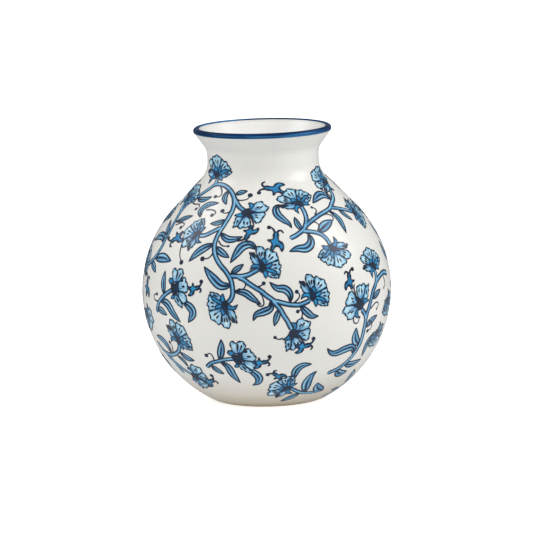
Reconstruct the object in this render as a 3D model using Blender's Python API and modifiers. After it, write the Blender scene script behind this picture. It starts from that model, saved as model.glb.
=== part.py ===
"""Round-bellied earthenware vase with a short flared neck, standing on a trimmed foot ring.

Every piece is turned about +Z. Metres, origin at the centre of the foot's underside.
The clay is built up as base slab, two bowls, neck collar and rolled lip; a glaze coat lies
outside and a glaze lining inside. Pieces that touch keep a small gap.
"""
import math

import bpy

# Driving dimensions, in metres
HEIGHT = 0.203                 # foot to top of lip
BELLY_RADIUS = 0.0922          # widest ring, outside the glaze
BELLY_HEIGHT = 0.0815          # height of the widest ring
BELLY_DROP = 0.0910            # vertical semi-axis of the belly below the widest ring
BELLY_RISE = 0.0900            # vertical semi-axis of the belly above it
NECK_RADIUS = 0.0412           # narrowest ring, outside the glaze
NECK_FILLET = 0.0185           # hollow curve from shoulder to neck
NECK_STRAIGHT = 0.0045         # upright stretch of the neck
FLARE_FILLET = 0.0130          # hollow curve from neck to flare
LIP_RADIUS = 0.0024            # round of the lip, half the wall
FOOT_INNER_RADIUS = 0.0320     # hollow under the foot
FOOT_HEIGHT = 0.0030           # depth of that hollow
SLAB_THICKNESS = 0.0030        # base slab
GLAZE = 0.0006                 # glaze coat and lining
GLAZE_LINE = 0.0013            # height at which the glaze coat stops above the foot
GAP = 0.0003                   # clearance between touching pieces

SHOULDER_ANGLE = math.radians(43.8)   # slope of the shoulder, from upright
FLARE_ANGLE = math.radians(36.0)      # slope of the flare, from upright

STEPS = 40                     # facets round every turned piece
SMOOTH_ANGLE = math.radians(35.0)
MERGE_DISTANCE = 0.00001
SOLVE_ROUNDS = 5

# Worked-out dimensions
WALL = 2 * LIP_RADIUS
CLAY_OUT = GLAZE + GAP                 # depth of the clay's outer face below the coat's face
CLAY_IN = WALL - GLAZE - GAP           # depth of its inner face
FLOOR_CLAY = FOOT_HEIGHT + GAP + SLAB_THICKNESS
FLOOR_TOP = FLOOR_CLAY + GAP + GLAZE   # the vase's inside floor


class Station:
    """A point of the outer profile with its outward normal."""

    def __init__(self, r, z, normal_angle):
        self.r = r
        self.z = z
        self.nr = math.cos(normal_angle)
        self.nz = math.sin(normal_angle)

    def at_depth(self, depth):
        """The point that lies this far below the outer face."""
        return (self.r - depth * self.nr, self.z - depth * self.nz)

    def slid_down(self, distance):
        """The same station moved down along the profile's tangent."""
        angle = math.atan2(self.nz, self.nr)
        return Station(self.r + distance * self.nz, self.z - distance * self.nr, angle)


def ellipse_station(rise, angle):
    """Belly station at an ellipse parameter, with this vertical semi-axis."""
    normal = math.atan2(math.sin(angle) / rise, math.cos(angle) / BELLY_RADIUS)
    r = BELLY_RADIUS * math.cos(angle)
    z = BELLY_HEIGHT + rise * math.sin(angle)
    return Station(r, z, normal)


def spread(first, last, count):
    """Evenly spaced values from first to last."""
    return [first + (last - first) * i / (count - 1) for i in range(count)]


def drop_angle(z):
    """Ellipse parameter of the lower belly at a height."""
    return math.asin((z - BELLY_HEIGHT) / BELLY_DROP)


def shoulder_angle():
    """Ellipse parameter where the belly meets the straight shoulder."""
    return math.atan(BELLY_RISE / BELLY_RADIUS * math.tan(SHOULDER_ANGLE))


def neck_height():
    """Height where the neck's hollow curve turns upright."""
    top = ellipse_station(BELLY_RISE, shoulder_angle())
    run = top.r - NECK_RADIUS - NECK_FILLET * (1 - math.cos(SHOULDER_ANGLE))
    return top.z + run / math.tan(SHOULDER_ANGLE) + NECK_FILLET * math.sin(SHOULDER_ANGLE)


def neck_fillet_station(angle):
    """Station on the curve between shoulder and neck; angle 0 is upright."""
    r = NECK_RADIUS + NECK_FILLET * (1 - math.cos(angle))
    z = neck_height() - NECK_FILLET * math.sin(angle)
    return Station(r, z, angle)


def flare_fillet_station(angle):
    """Station on the curve between neck and flare; angle 0 is upright."""
    r = NECK_RADIUS + FLARE_FILLET * (1 - math.cos(angle))
    z = neck_height() + NECK_STRAIGHT + FLARE_FILLET * math.sin(angle)
    return Station(r, z, -angle)


def flare_top():
    """Station where the straight flare meets the round lip."""
    start = flare_fillet_station(FLARE_ANGLE)
    rise = HEIGHT - LIP_RADIUS - LIP_RADIUS * math.sin(FLARE_ANGLE) - start.z
    return Station(start.r + rise * math.tan(FLARE_ANGLE), start.z + rise, -FLARE_ANGLE)


def neck_stations():
    """From the lip down to the foot of the neck's hollow curve."""
    flare = [flare_fillet_station(a) for a in spread(FLARE_ANGLE, 0.0, 3)]
    neck = [neck_fillet_station(a) for a in spread(0.0, SHOULDER_ANGLE, 4)]
    return [flare_top()] + flare + neck


def upper_stations():
    """From the neck's hollow curve down to the widest ring."""
    belly = [ellipse_station(BELLY_RISE, a) for a in spread(shoulder_angle(), 0.0, 5)]
    return [neck_fillet_station(SHOULDER_ANGLE)] + belly


def lower_stations(z_end):
    """From the widest ring down to a height."""
    return [ellipse_station(BELLY_DROP, a) for a in spread(0.0, drop_angle(z_end), 7)]


def clay_radius(z):
    """Radius of the lower clay's outer face at a height."""
    height = z
    for _ in range(SOLVE_ROUNDS):
        station = ellipse_station(BELLY_DROP, drop_angle(height))
        height += z - station.at_depth(CLAY_OUT)[1]
    return station.at_depth(CLAY_OUT)[0]


def slab_joint():
    """Station where the lower bowl stands on the base slab."""
    return ellipse_station(BELLY_DROP, drop_angle(FOOT_HEIGHT + GAP + SLAB_THICKNESS / 2))


def outer_glaze_profile():
    stations = neck_stations()[:-1] + upper_stations()[:-1] + lower_stations(slab_joint().z)
    stations[0] = stations[0].slid_down(GAP)
    stations.append(ellipse_station(BELLY_DROP, drop_angle(GLAZE_LINE)))
    outer = [s.at_depth(0.0) for s in stations]
    inner = [s.at_depth(GLAZE) for s in stations]
    return outer + inner[::-1]


def clay_profile(stations):
    """A stretch of clay wall that stops a gap short of the piece above it."""
    trimmed = [stations[0].slid_down(GAP)] + stations[1:]
    outer = [s.at_depth(CLAY_OUT) for s in trimmed]
    inner = [s.at_depth(CLAY_IN) for s in trimmed]
    return outer + inner[::-1]


def rim_lip_profile():
    """Round lip over the whole wall, flat where it sits on the collar and the coats."""
    top = flare_top()
    centre_r, centre_z = top.at_depth(LIP_RADIUS)
    angles = spread(math.pi - FLARE_ANGLE, -FLARE_ANGLE, 8)
    return [(centre_r + LIP_RADIUS * math.cos(a), centre_z + LIP_RADIUS * math.sin(a))
            for a in angles]


def base_slab_profile():
    joint = slab_joint().slid_down(GAP)
    edge_r, edge_z = joint.at_depth(CLAY_OUT)
    rise = FLOOR_CLAY - edge_z
    top_r = edge_r + rise * joint.nr / joint.nz
    under_z = FOOT_HEIGHT + GAP
    return [(0.0, FLOOR_CLAY), (top_r, FLOOR_CLAY), (edge_r, edge_z),
            (clay_radius(under_z), under_z), (0.0, under_z)]


def foot_ring_profile():
    return [(clay_radius(FOOT_HEIGHT), FOOT_HEIGHT), (clay_radius(0.0), 0.0),
            (FOOT_INNER_RADIUS, 0.0), (FOOT_INNER_RADIUS, FOOT_HEIGHT)]


def inner_glaze_profile():
    """Lining of the floor and the wall, up to the lip."""
    stations = neck_stations()[:-1] + upper_stations()[:-1] + lower_stations(slab_joint().z)
    stations[0] = stations[0].slid_down(GAP)
    clay_side = [s.at_depth(WALL - GLAZE) for s in stations]
    room_side = [s.at_depth(WALL) for s in stations]
    corner = clay_side[-1][0] - GAP
    floor_under = [(corner, FLOOR_CLAY + GAP), (0.0, FLOOR_CLAY + GAP)]
    floor_top = [(0.0, FLOOR_TOP), (corner - GLAZE, FLOOR_TOP)]
    return clay_side + floor_under + floor_top + room_side[::-1]


def clay_material(name, color, roughness):
    material = bpy.data.materials.new(name)
    material.use_nodes = True
    shader = material.node_tree.nodes["Principled BSDF"]
    shader.inputs["Base Color"].default_value = color
    shader.inputs["Roughness"].default_value = roughness
    shader.inputs["Metallic"].default_value = 0.0
    return material


def turned(name, profile, closed, material, collection):
    """Turn a profile in the XZ plane about +Z and shade it smooth."""
    count = len(profile)
    edges = [(i, i + 1) for i in range(count - 1)]
    if closed:
        edges.append((count - 1, 0))
    outline = bpy.data.meshes.new(name + "_profile")
    outline.from_pydata([(r, 0.0, z) for r, z in profile], edges, [])
    blank = bpy.data.objects.new(name + "_profile", outline)
    collection.objects.link(blank)
    screw = blank.modifiers.new("turn", "SCREW")
    screw.axis = "Z"
    screw.angle = math.tau
    screw.steps = STEPS
    screw.render_steps = STEPS
    screw.use_merge_vertices = True
    screw.merge_threshold = MERGE_DISTANCE
    depsgraph = bpy.context.evaluated_depsgraph_get()
    mesh = bpy.data.meshes.new_from_object(blank.evaluated_get(depsgraph))
    bpy.data.objects.remove(blank)
    mesh.name = name
    mesh.shade_smooth()
    mesh.set_sharp_from_angle(angle=SMOOTH_ANGLE)
    mesh.materials.clear()
    mesh.materials.append(material)
    piece = bpy.data.objects.new(name, mesh)
    collection.objects.link(piece)
    return piece


def main():
    for old in list(bpy.data.objects):
        bpy.data.objects.remove(old)
    vase = bpy.data.collections.new("pottery_vase")
    bpy.context.scene.collection.children.link(vase)

    bare_clay = clay_material("bare_clay", (0.55, 0.44, 0.35, 1.0), 0.85)
    biscuit = clay_material("biscuit", (0.72, 0.60, 0.50, 1.0), 0.80)
    white_glaze = clay_material("white_glaze", (0.84, 0.83, 0.80, 1.0), 0.18)
    lining_glaze = clay_material("lining_glaze", (0.86, 0.85, 0.82, 1.0), 0.25)
    cobalt_glaze = clay_material("cobalt_glaze", (0.03, 0.10, 0.24, 1.0), 0.12)

    turned("rim_lip", rim_lip_profile(), True, cobalt_glaze, vase)
    turned("neck_collar", clay_profile(neck_stations()), True, biscuit, vase)
    turned("upper_bowl", clay_profile(upper_stations()), True, biscuit, vase)
    turned("lower_bowl", clay_profile(lower_stations(slab_joint().z)), True, biscuit, vase)
    turned("base_slab", base_slab_profile(), False, biscuit, vase)
    turned("foot_ring", foot_ring_profile(), True, bare_clay, vase)
    turned("outer_glaze", outer_glaze_profile(), True, white_glaze, vase)
    turned("inner_glaze", inner_glaze_profile(), True, lining_glaze, vase)


main()
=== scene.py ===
"""Looks of the round-bellied vase: white glaze painted in blue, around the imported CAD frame.

The clay stays as the CAD has it. The glaze coat, the lining, the lip and the foot ring are turned
again here, finer, and the painting lies on the coat as thin closed films of colour.
Lengths of the decoration are in millimetres. A place on the coat is (azimuth, arc): degrees round
the vase, 0 at the front and rising to the right, and millimetres along the outline from the widest
ring, rising towards the lip.
"""
import bisect
import math

import bpy
from mathutils import Matrix, Vector
from mathutils.geometry import delaunay_2d_cdt


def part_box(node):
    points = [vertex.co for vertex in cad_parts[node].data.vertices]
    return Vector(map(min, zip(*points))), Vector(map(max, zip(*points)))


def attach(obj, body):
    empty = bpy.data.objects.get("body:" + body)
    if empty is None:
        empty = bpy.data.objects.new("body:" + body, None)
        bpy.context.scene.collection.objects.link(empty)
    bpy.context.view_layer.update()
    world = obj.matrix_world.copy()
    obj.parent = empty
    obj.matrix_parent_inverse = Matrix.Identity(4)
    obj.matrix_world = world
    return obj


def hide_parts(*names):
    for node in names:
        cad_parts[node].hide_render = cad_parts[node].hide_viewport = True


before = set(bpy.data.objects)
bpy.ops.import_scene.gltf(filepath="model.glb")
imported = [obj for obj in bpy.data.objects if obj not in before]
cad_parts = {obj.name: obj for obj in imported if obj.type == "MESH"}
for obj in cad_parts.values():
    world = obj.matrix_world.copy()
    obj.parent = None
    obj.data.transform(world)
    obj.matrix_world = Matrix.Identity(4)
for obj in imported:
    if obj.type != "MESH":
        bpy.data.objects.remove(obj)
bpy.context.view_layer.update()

MM = 0.001

# The vase's outline, in millimetres: the two overall sizes come from the frame
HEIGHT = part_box("rim_lip")[1].z / MM
BELLY_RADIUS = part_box("outer_glaze")[1].x / MM
BELLY_HEIGHT = 81.5            # height of the widest ring
BELLY_DROP = 91.0              # vertical semi-axis below it
BELLY_RISE = 90.0              # vertical semi-axis above it
NECK_RADIUS = 41.2
NECK_FILLET = 18.5
NECK_STRAIGHT = 4.5
FLARE_FILLET = 13.0
LIP_RADIUS = 2.4
SHOULDER_ANGLE = math.radians(43.8)
FLARE_ANGLE = math.radians(36.0)
WALL = 2 * LIP_RADIUS
GLAZE = 0.6
GAP = 0.3
GLAZE_LINE = 0.9               # height at which the glaze coat stops
FOOT_INNER_RADIUS = 32.0
FOOT_HEIGHT = 3.0
SLAB_JOINT = 4.8               # height where the wall stands on the base slab
FLOOR_TOP = 7.2                # inside floor
CLAY_DEPTH = GLAZE + GAP       # depth of the clay below the coat's face
SEGMENTS = 256                 # facets round a turned piece
OUTLINE_STEP = 1.0             # spacing of the outline's stations
BACK_STEP = 4                  # a hidden back keeps every fourth station
CURVE_LENGTHS = (100, 70, 15, 9)    # rough lengths of the outline's curves, from the foot up
SMOOTH_ANGLE = math.radians(35)     # edges sharper than this stay sharp

LIP_STEPS = 28                 # facets over the round of the lip
LIP_SKIRT = 1                  # stations that the lip's glaze runs down the wall
LIP_SKIRT_LIFT = 0.06
BAND_ARC = (-31, 141)          # painted arc of the round lip, in degrees
BAND_STEPS = 24
BAND_LIFT = 0.05               # the band's face, above the lip's glaze
BAND_DEPTH = 0.1               # its back, below the round of the clay
BAND_FADE = (3.8, 3.0)         # where its pale lower edge starts and ends, below the top
FOOT_BEVEL = 0.5
FOOT_BEVEL_TURN = 0.15         # its middle corner, as a part of it

# Painting, in millimetres
FILM_BASE = -0.03              # the films' undersides, inside the glaze
FILM_LIFT = 0.015              # first layer above the glaze
LAYER = 0.025                  # each further layer
STROKE_STEP = 0.8
FILL_STEP = 2.2
COLUMN_WIDTH = 1.8             # widest column across a stroke
LINE_WIDTH = 1.15
MIN_WIDTH = 0.05
RUFFLE = 0.32                  # how far a petal's edge waves in and out
RUFFLE_LENGTH = 3.9            # length of one wave
RUFFLE_FROM = 7.0              # distance from the throat where the waves begin
RUFFLE_RISE = 3.0              # distance over which they grow to full
EDGE_WAVES = 7                 # times that a drawn edge thickens round a shape
EDGE_UNEVEN = 0.35             # how much, as a part of its width
PETAL_EDGE = 0.85 * LINE_WIDTH
PETAL_SWELL = 0.7              # a petal's edge is wider by this at the throat
SWELL_REACH = 8.0              # and by nothing this far out
PETAL_STEP = 0.55
VEIN = (0.2, 0.45, 0.68)       # a petal's vein, as parts of the way to its tip
VEIN_WIDTH = 1.5
SEPAL_EDGE = 0.8 * LINE_WIDTH
BUD_EDGE = 1.15 * LINE_WIDTH
DASH_WIDTH = 1.4
DASH_STEP = 0.4
DASH_REACH = (-0.25, 1.35)     # a dash's ends, as parts of the way between its two points
CORE_PART = 0.48               # blue core of a stem, as a part of its width
STREAK_PART = 0.1              # half of its pale streak
LEAF_FULLNESS = 1.12
LEAF_WASHES = ((0.92, 0.42), (-0.55, -0.72))    # pale strips, as parts of the half-width
WASH_SPAN = (0.06, 0.9)        # stretch of a leaf that has pale strips
FADE_RATE = 5.0                # how fast the strips widen at their ends
RIB_PART = 0.27                # a leaf's rib, as a part of its width
RIB_END = 0.85                 # where the rib ends along the leaf
CURL_WIDTH = 1.5               # a bud's two curls
MOTIF_STEM_WIDTH = 3.6
DOT_SIDES = 14
MERGE_DISTANCE = 0.001

# Layers of paint, from the glaze up
(LEAF, LEAF_WASH, STEM, STEM_CORE, STEM_LIGHT, PETAL, PETAL_SHADE, PETAL_LINE, SEPAL,
 SEPAL_LINE) = range(1, 11)

# Paints, in the order that every painted piece holds them
PETAL_PAINT, WASH_PAINT, BLUE_PAINT, BRIGHT_PAINT, NAVY_PAINT = range(5)


# --- outline of the vase

class Station:
    """A point of the outline with its outward normal."""

    def __init__(self, r, z, normal_angle):
        self.r = r
        self.z = z
        self.nr = math.cos(normal_angle)
        self.nz = math.sin(normal_angle)

    def at(self, lift):
        """Radius and height of the point this far outside the outline."""
        return (self.r + lift * self.nr, self.z + lift * self.nz)


def belly_station(angle):
    """Station on the belly, by the ellipse's own parameter."""
    rise = BELLY_RISE if angle > 0 else BELLY_DROP
    normal = math.atan2(math.sin(angle) / rise, math.cos(angle) / BELLY_RADIUS)
    return Station(BELLY_RADIUS * math.cos(angle), BELLY_HEIGHT + rise * math.sin(angle), normal)


def belly_angle(z):
    """Ellipse parameter of the lower belly at a height."""
    return math.asin((z - BELLY_HEIGHT) / BELLY_DROP)


def spread(first, last, length):
    """Values from first to last, about OUTLINE_STEP apart over this length."""
    count = max(2, round(length / OUTLINE_STEP))
    return [first + (last - first) * i / count for i in range(count + 1)]


def outline():
    """Stations of the coat's face from the glaze line up to the lip."""
    low = belly_angle(GLAZE_LINE)
    high = math.atan(BELLY_RISE / BELLY_RADIUS * math.tan(SHOULDER_ANGLE))
    drop, rise, neck, flare = CURVE_LENGTHS
    stations = [belly_station(a) for a in spread(low, 0.0, drop)]
    stations += [belly_station(a) for a in spread(0.0, high, rise)][1:]
    top = stations[-1]
    run = top.r - NECK_RADIUS - NECK_FILLET * (1 - math.cos(SHOULDER_ANGLE))
    waist = top.z + run / math.tan(SHOULDER_ANGLE) + NECK_FILLET * math.sin(SHOULDER_ANGLE)
    for a in spread(SHOULDER_ANGLE, 0.0, neck):
        r = NECK_RADIUS + NECK_FILLET * (1 - math.cos(a))
        stations.append(Station(r, waist - NECK_FILLET * math.sin(a), a))
    for a in spread(0.0, FLARE_ANGLE, flare):
        r = NECK_RADIUS + FLARE_FILLET * (1 - math.cos(a))
        stations.append(Station(r, waist + NECK_STRAIGHT + FLARE_FILLET * math.sin(a), -a))
    last = stations[-1]
    straight = HEIGHT - LIP_RADIUS - LIP_RADIUS * math.sin(FLARE_ANGLE) - last.z
    for share in spread(0.0, 1.0, straight)[1:]:
        step = straight * share
        stations.append(Station(last.r + step * math.tan(FLARE_ANGLE), last.z + step, -FLARE_ANGLE))
    return stations


STATIONS = outline()
ARCS = [0.0]
for below, above in zip(STATIONS, STATIONS[1:]):
    ARCS.append(ARCS[-1] + math.hypot(above.r - below.r, above.z - below.z))
WIDEST = max(range(len(STATIONS)), key=lambda i: STATIONS[i].r)
ARCS = [arc - ARCS[WIDEST] for arc in ARCS]


def profile_at(arc, lift):
    """Radius and height at an arc length, this far outside the coat."""
    i = min(max(bisect.bisect(ARCS, arc), 1), len(ARCS) - 1)
    share = (arc - ARCS[i - 1]) / (ARCS[i] - ARCS[i - 1])
    r0, z0 = STATIONS[i - 1].at(lift)
    r1, z1 = STATIONS[i].at(lift)
    return (r0 + share * (r1 - r0), z0 + share * (z1 - z0))


def degree_width(arc):
    """Millimetres that one degree spans at an arc length."""
    return math.radians(profile_at(arc, 0.0)[0])


# --- curves on the glaze

def smooth_curve(points, closed=False, step=STROKE_STEP):
    """Samples of a smooth curve through flat points; a third value marks a corner."""
    count = len(points)
    flat = [Vector(p[:2]) for p in points]
    corner = [len(p) > 2 for p in points]
    samples = []
    for i in range(count if closed else count - 1):
        before, start = flat[i - 1], flat[i]
        end, after = flat[(i + 1) % count], flat[(i + 2) % count]
        chord = end - start
        leave = chord if corner[i] or (not closed and i == 0) else end - before
        arrive = chord if corner[(i + 1) % count] or (not closed and i == count - 2) else after - start
        leave = leave.normalized() * chord.length
        arrive = arrive.normalized() * chord.length
        steps = max(1, round(chord.length / step))
        for k in range(steps):
            t = k / steps
            samples.append(start * (1 + 2 * t) * (1 - t) ** 2 + leave * t * (1 - t) ** 2
                           + end * t * t * (3 - 2 * t) - arrive * t * t * (1 - t))
    if not closed:
        samples.append(flat[-1])
    return samples


class Chart:
    """Lays a flat motif on the glaze, turned, scaled and perhaps mirrored about its own origin."""

    def __init__(self, azimuth, arc, turn=0.0, scale=1.0, mirror=False):
        self.azimuth = azimuth
        self.arc = arc
        self.cos = scale * math.cos(math.radians(turn))
        self.sin = scale * math.sin(math.radians(turn))
        self.flip = -1 if mirror else 1

    def place(self, point):
        """(azimuth, arc) of a motif's point."""
        x, y = point[0] * self.flip, point[1]
        arc = self.arc + self.sin * x + self.cos * y
        return (self.azimuth + (self.cos * x - self.sin * y) / degree_width(arc), arc)

    def stroke(self, points):
        """A smooth stroke through a motif's points."""
        return Stroke([self.place(p) for p in smooth_curve(points)])


class Stroke:
    """A curve on the glaze: its places, their sideways directions and their share of the length."""

    def __init__(self, places, closed=False):
        self.places = places
        self.closed = closed
        count = len(places)
        self.sides = []
        lengths = [0.0]
        for i, (azimuth, arc) in enumerate(places):
            width = degree_width(arc)
            before = places[i - 1] if closed or i > 0 else places[i]
            after = places[(i + 1) % count] if closed or i < count - 1 else places[i]
            along = Vector(((after[0] - before[0]) * width, after[1] - before[1]))
            along.normalize()
            self.sides.append(Vector((-along.y / width, along.x)))
            if i > 0:
                step = Vector(((azimuth - places[i - 1][0]) * width, arc - places[i - 1][1]))
                lengths.append(lengths[-1] + step.length)
        self.length = lengths[-1]
        self.shares = [length / self.length for length in lengths]

    def beside(self, i, distance):
        """The place this far to the left of sample i."""
        azimuth, arc = self.places[i]
        return (azimuth + self.sides[i].x * distance, arc + self.sides[i].y * distance)


def stroke_through(points):
    """A stroke through (azimuth, arc) points."""
    width = degree_width(sum(p[1] for p in points) / len(points))
    samples = smooth_curve([(p[0] * width, *p[1:]) for p in points])
    return Stroke([(p.x / width, p.y) for p in samples])


# --- pieces

def smooth_mesh(name, verts, faces, materials):
    """A smooth-shaded mesh whose sharp corners stay sharp."""
    mesh = bpy.data.meshes.new(name)
    mesh.from_pydata(verts, [], faces)
    for material in materials:
        mesh.materials.append(material)
    mesh.shade_smooth()
    mesh.set_sharp_from_angle(angle=SMOOTH_ANGLE)
    return mesh


def placed(name, data):
    """A new object in the scene."""
    made = bpy.data.objects.new(name, data)
    bpy.context.scene.collection.objects.link(made)
    return made


def riding(name, mesh):
    """A new piece of the vase."""
    piece = placed(name, mesh)
    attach(piece, "root")
    return piece


# --- films of paint

class Painting:
    """The films of one piece. Each is closed, and its underside lies inside the glaze."""

    def __init__(self, name, around):
        self.name = name
        self.around = around
        self.verts = []
        self.faces = []
        self.paints = []
        self.brush = []
        self.insets = []
        self.centre = (0.0, 0.0)

    def vertex(self, place, lift, inset):
        azimuth, arc = place
        r, z = profile_at(arc, lift)
        a = math.radians(azimuth + self.around)
        self.verts.append((r * math.sin(a) * MM, -r * math.cos(a) * MM, z * MM))
        x = (azimuth - self.centre[0]) * degree_width(arc)
        y = arc - self.centre[1]
        reach = max(math.hypot(x, y), MIN_WIDTH)
        self.brush.append((x / reach, y / reach, reach))
        self.insets.append(inset)
        return len(self.verts) - 1

    def film(self, places, tops, rim, layer, paint, insets=None):
        """A closed film over places: tops are its upper faces, rim its edges, counter-clockwise."""
        lift = FILM_LIFT + LAYER * layer
        insets = insets or [0.0] * len(places)
        upper = [self.vertex(p, lift, inset) for p, inset in zip(places, insets)]
        lower = [self.vertex(p, FILM_BASE, inset) for p, inset in zip(places, insets)]
        faces = [[upper[i] for i in face] for face in tops]
        faces += [[lower[i] for i in reversed(face)] for face in tops]
        faces += [[upper[a], lower[a], lower[b], upper[b]] for a, b in rim]
        self.faces += faces
        self.paints += [paint] * len(faces)

    def band(self, stroke, left, right, layer, paint):
        """A film along a stroke, between two lists of distances to its left."""
        spans = []
        for far, near in zip(left, right):
            middle = (far + near) / 2
            half = max(far - near, MIN_WIDTH) / 2
            spans.append((middle - half, middle + half))
        rows = len(spans)
        across = math.ceil(max(far - near for near, far in spans) / COLUMN_WIDTH)
        cols = across + 1
        places = [stroke.beside(i, near + (far - near) * k / across)
                  for i, (near, far) in enumerate(spans) for k in range(cols)]
        runs = [(i * cols, (i + 1) % rows * cols) for i in range(rows if stroke.closed else rows - 1)]
        tops = [(i + k, j + k, j + k + 1, i + k + 1) for i, j in runs for k in range(across)]
        rim = runs + [(j + across, i + across) for i, j in runs]
        if not stroke.closed:
            last = (rows - 1) * cols
            rim += [(k + 1, k) for k in range(across)] + [(last + k, last + k + 1) for k in range(across)]
        self.film(places, tops, rim, layer, paint)

    def line(self, stroke, width, layer, paint=NAVY_PAINT):
        """A film centred on a stroke; width is a list or a function of share."""
        widths = width if isinstance(width, list) else [width(share) for share in stroke.shares]
        self.band(stroke, scaled(widths, 0.5), scaled(widths, -0.5), layer, paint)

    def fill(self, chart, outline_points, layer, paint):
        """A film inside a closed flat outline."""
        count = len(outline_points)
        rim = [(i, (i + 1) % count) for i in range(count)]
        inside = grid_inside(outline_points)
        flat, _, faces, *_ = delaunay_2d_cdt(outline_points + inside, rim, [], 1, MERGE_DISTANCE)
        faces = [face if turn_of(face, flat) > 0 else face[::-1] for face in faces]
        if chart.flip < 0:
            faces = [face[::-1] for face in faces]
        edges = [(face[k - 1], face[k]) for face in faces for k in range(len(face))]
        both_ways = set(edges)
        rim = [(a, b) for a, b in edges if (b, a) not in both_ways]
        insets = [min((p - q).length for q in outline_points) for p in flat]
        self.film([chart.place(p) for p in flat], faces, rim, layer, paint, insets)

    def edge(self, chart, samples, width, layer, swell=0.0):
        """A drawn edge of uneven width, wider by swell towards the motif's origin."""
        stroke = Stroke([chart.place(p) for p in samples], closed=True)
        self.line(stroke, [width * (1 + EDGE_UNEVEN * math.sin(EDGE_WAVES * share * math.tau))
                           + swell * max(0.0, 1 - p.length / SWELL_REACH)
                           for p, share in zip(samples, stroke.shares)], layer)

    def shape(self, chart, points, layer, paint, width):
        """A filled motif outline with a drawn edge."""
        samples = smooth_curve(points, closed=True)
        self.fill(chart, samples, layer, paint)
        self.edge(chart, samples, width, layer + 1)

    def petal(self, chart, points):
        """A petal with a ruffled, drawn edge and a blue vein."""
        samples = ruffled(smooth_curve(points, closed=True, step=PETAL_STEP))
        self.fill(chart, samples, PETAL, PETAL_PAINT)
        self.edge(chart, samples, PETAL_EDGE, PETAL_LINE, PETAL_SWELL)
        tip = max(samples, key=lambda p: p.length)
        self.line(chart.stroke([tip * part for part in VEIN]), lambda share: VEIN_WIDTH * taper(share),
                  PETAL_SHADE, BLUE_PAINT)

    def ball(self, azimuth, arc, radius):
        """A round dot."""
        turns = [math.tau * i / DOT_SIDES for i in range(DOT_SIDES)]
        ring = [Vector((radius * math.cos(a), radius * math.sin(a))) for a in turns]
        self.fill(Chart(azimuth, arc), ring, STEM_CORE, NAVY_PAINT)

    def finish(self):
        """Make the piece."""
        mesh = smooth_mesh(self.name, self.verts, self.faces, PAINTS)
        mesh.polygons.foreach_set("material_index", self.paints)
        brush = mesh.attributes.new("brush", "FLOAT_VECTOR", "POINT")
        brush.data.foreach_set("vector", [value for vector in self.brush for value in vector])
        mesh.attributes.new("inset", "FLOAT", "POINT").data.foreach_set("value", self.insets)
        riding(self.name, mesh)


def scaled(numbers, factor):
    """Every number times a factor."""
    return [factor * number for number in numbers]


def ruffled(samples):
    """A petal's outline with its outer edge waved."""
    waved = []
    run = 0.0
    for before, here in zip(samples[-1:] + samples[:-1], samples):
        run += (here - before).length
        reach = min(max((here.length - RUFFLE_FROM) / RUFFLE_RISE, 0.0), 1.0)
        wave = RUFFLE * reach * math.sin(math.tau * run / RUFFLE_LENGTH)
        waved.append(here + here.normalized() * wave)
    return waved


def turn_of(face, flat):
    """Twice the signed area of a flat triangle."""
    a, b, c = (flat[i] for i in face[:3])
    return (b - a).cross(c - a)


def is_inside(point, ring):
    """Whether a point is inside a closed ring."""
    inside = False
    for a, b in zip(ring, ring[1:] + ring[:1]):
        if (a.y > point.y) != (b.y > point.y):
            if point.x < a.x + (point.y - a.y) * (b.x - a.x) / (b.y - a.y):
                inside = not inside
    return inside


def grid_inside(ring):
    """Grid points inside a ring, clear of its edge."""
    xs, ys = [p.x for p in ring], [p.y for p in ring]
    found = []
    y = min(ys) + FILL_STEP / 2
    while y < max(ys):
        x = min(xs) + FILL_STEP / 2
        while x < max(xs):
            point = Vector((x, y))
            if is_inside(point, ring) and min((point - p).length for p in ring) > FILL_STEP / 4:
                found.append(point)
            x += FILL_STEP
        y += FILL_STEP
    return found


# --- brushwork

def taper(share):
    """A stroke that starts full and ends in a point."""
    return (1 - share) ** 0.6


def leaf_shape(share):
    """Half-width of a leaf as a part of its widest, from base to tip."""
    return math.sin(math.pi * min(share, 0.999) ** 0.85) ** 0.7


def drop_shape(share):
    """Width of a brush mark as a part of its widest: round at its start, thin at its end."""
    return math.sin(math.pi * (0.04 + 0.94 * share) ** 0.7) ** 0.7


def paint_leaf(painting, stroke, width):
    """A leaf with a drawn edge, pale sides, a dark rib and a dark tip."""
    halves = [width / 2 * leaf_shape(share) for share in stroke.shares]
    inner = [max(half - LINE_WIDTH, 0.0) for half in halves]
    pale = [gap * fade(share) for gap, share in zip(inner, stroke.shares)]
    painting.band(stroke, halves, scaled(halves, -1), LEAF, BLUE_PAINT)
    for left, right in LEAF_WASHES:
        painting.band(stroke, scaled(pale, left), scaled(pale, right), LEAF_WASH, WASH_PAINT)
    painting.band(stroke, halves, inner, STEM, NAVY_PAINT)
    painting.band(stroke, scaled(inner, -1), scaled(halves, -1), STEM, NAVY_PAINT)
    painting.line(stroke, lambda share: RIB_PART * width * taper(min(share / RIB_END, 1.0)), STEM)


def fade(share):
    """1 along a leaf, closing to 0 at the two ends of its pale strips."""
    start, end = WASH_SPAN
    return min(1.0, max(0.0, FADE_RATE * (share - start)), max(0.0, FADE_RATE * (end - share)))


def rounded(stroke, width):
    """This width along a stroke, with round ends."""
    half = width / 2
    ends = [min(share, 1 - share) * stroke.length for share in stroke.shares]
    return [width * math.sqrt(max(0.0, 1 - max(0.0, 1 - end / half) ** 2)) for end in ends]


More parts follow.
